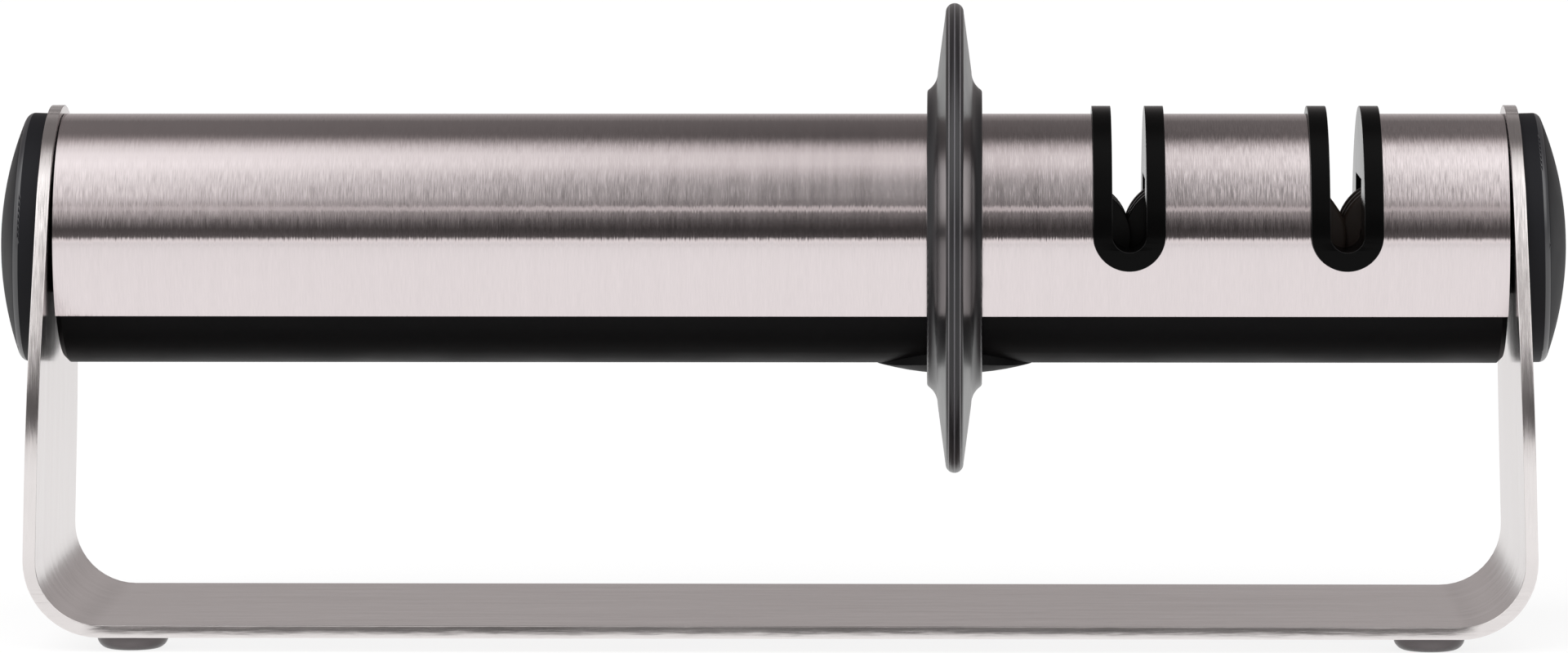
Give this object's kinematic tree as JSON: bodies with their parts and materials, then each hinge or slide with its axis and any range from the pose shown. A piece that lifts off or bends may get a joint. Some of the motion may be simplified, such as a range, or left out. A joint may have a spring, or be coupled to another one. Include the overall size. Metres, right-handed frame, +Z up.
{
  "type": "pull through knife sharpener",
  "caption": "Steel tube on a bent steel stand, with a round finger guard and knife slots over turning sharpening discs.",
  "frame": {"origin": "on the table under the middle of the tube, at the height of the feet", "axes": "+X along the tube towards the knife slots' end, +Y to the back, +Z up"},
  "size_m": [0.1998, 0.06, 0.0806],
  "materials": {
    "brushed_tube": "brushed round the tube",
    "brushed_strip": "brushed along the strip",
    "bright_steel": "turned and polished",
    "black_plastic": "moulded, satin",
    "liner_plastic": "moulded, semi-gloss",
    "cap_plastic": "moulded, fine matt grain",
    "cover_plastic": "moulded, smooth",
    "guard_plastic": "moulded, dark grey, semi-gloss",
    "carbide": "ground dark carbide",
    "ceramic": "fine fired ceramic",
    "foot_rubber": "matt"
  },
  "bodies": {
    "stand_and_tube": {"stand": "brushed_strip", "feet": "foot_rubber", "shell": "brushed_tube", "keel": "black_plastic", "left_end_plug": "black_plastic", "right_end_plug": "black_plastic", "left_end_cap": "cap_plastic", "right_end_cap": "cap_plastic", "left_clamp_screw": "bright_steel", "right_clamp_screw": "bright_steel", "left_screw_cover": "cover_plastic", "right_screw_cover": "cover_plastic", "finger_guard": "guard_plastic", "head_front": "black_plastic", "head_back": "black_plastic", "coarse_liner": "liner_plastic", "fine_liner": "liner_plastic", "coarse_left_axle": "bright_steel", "coarse_right_axle": "bright_steel", "fine_left_axle": "bright_steel", "fine_right_axle": "bright_steel"},
    "coarse_left_roller": {"coarse_left_discs": "carbide", "coarse_left_sleeve": "bright_steel", "coarse_left_spacers": "black_plastic"},
    "coarse_right_roller": {"coarse_right_discs": "carbide", "coarse_right_sleeve": "bright_steel", "coarse_right_spacers": "black_plastic"},
    "fine_left_roller": {"fine_left_discs": "ceramic", "fine_left_sleeve": "bright_steel", "fine_left_spacers": "black_plastic"},
    "fine_right_roller": {"fine_right_discs": "ceramic", "fine_right_sleeve": "bright_steel", "fine_right_spacers": "black_plastic"}
  },
  "joints": [
    {"name": "coarse_left_spin", "type": "hinge", "parent": "stand_and_tube", "child": "coarse_left_roller", "pos_m": [0.03789, 0, 0.05118], "axis": [0, 1, 0], "continuous": true},
    {"name": "coarse_right_spin", "type": "hinge", "parent": "stand_and_tube", "child": "coarse_right_roller", "pos_m": [0.05011, 0, 0.05118], "axis": [0, 1, 0], "continuous": true},
    {"name": "fine_left_spin", "type": "hinge", "parent": "stand_and_tube", "child": "fine_left_roller", "pos_m": [0.06529, 0, 0.05118], "axis": [0, 1, 0], "continuous": true},
    {"name": "fine_right_spin", "type": "hinge", "parent": "stand_and_tube", "child": "fine_right_roller", "pos_m": [0.07751, 0, 0.05118], "axis": [0, 1, 0], "continuous": true}
  ]
}
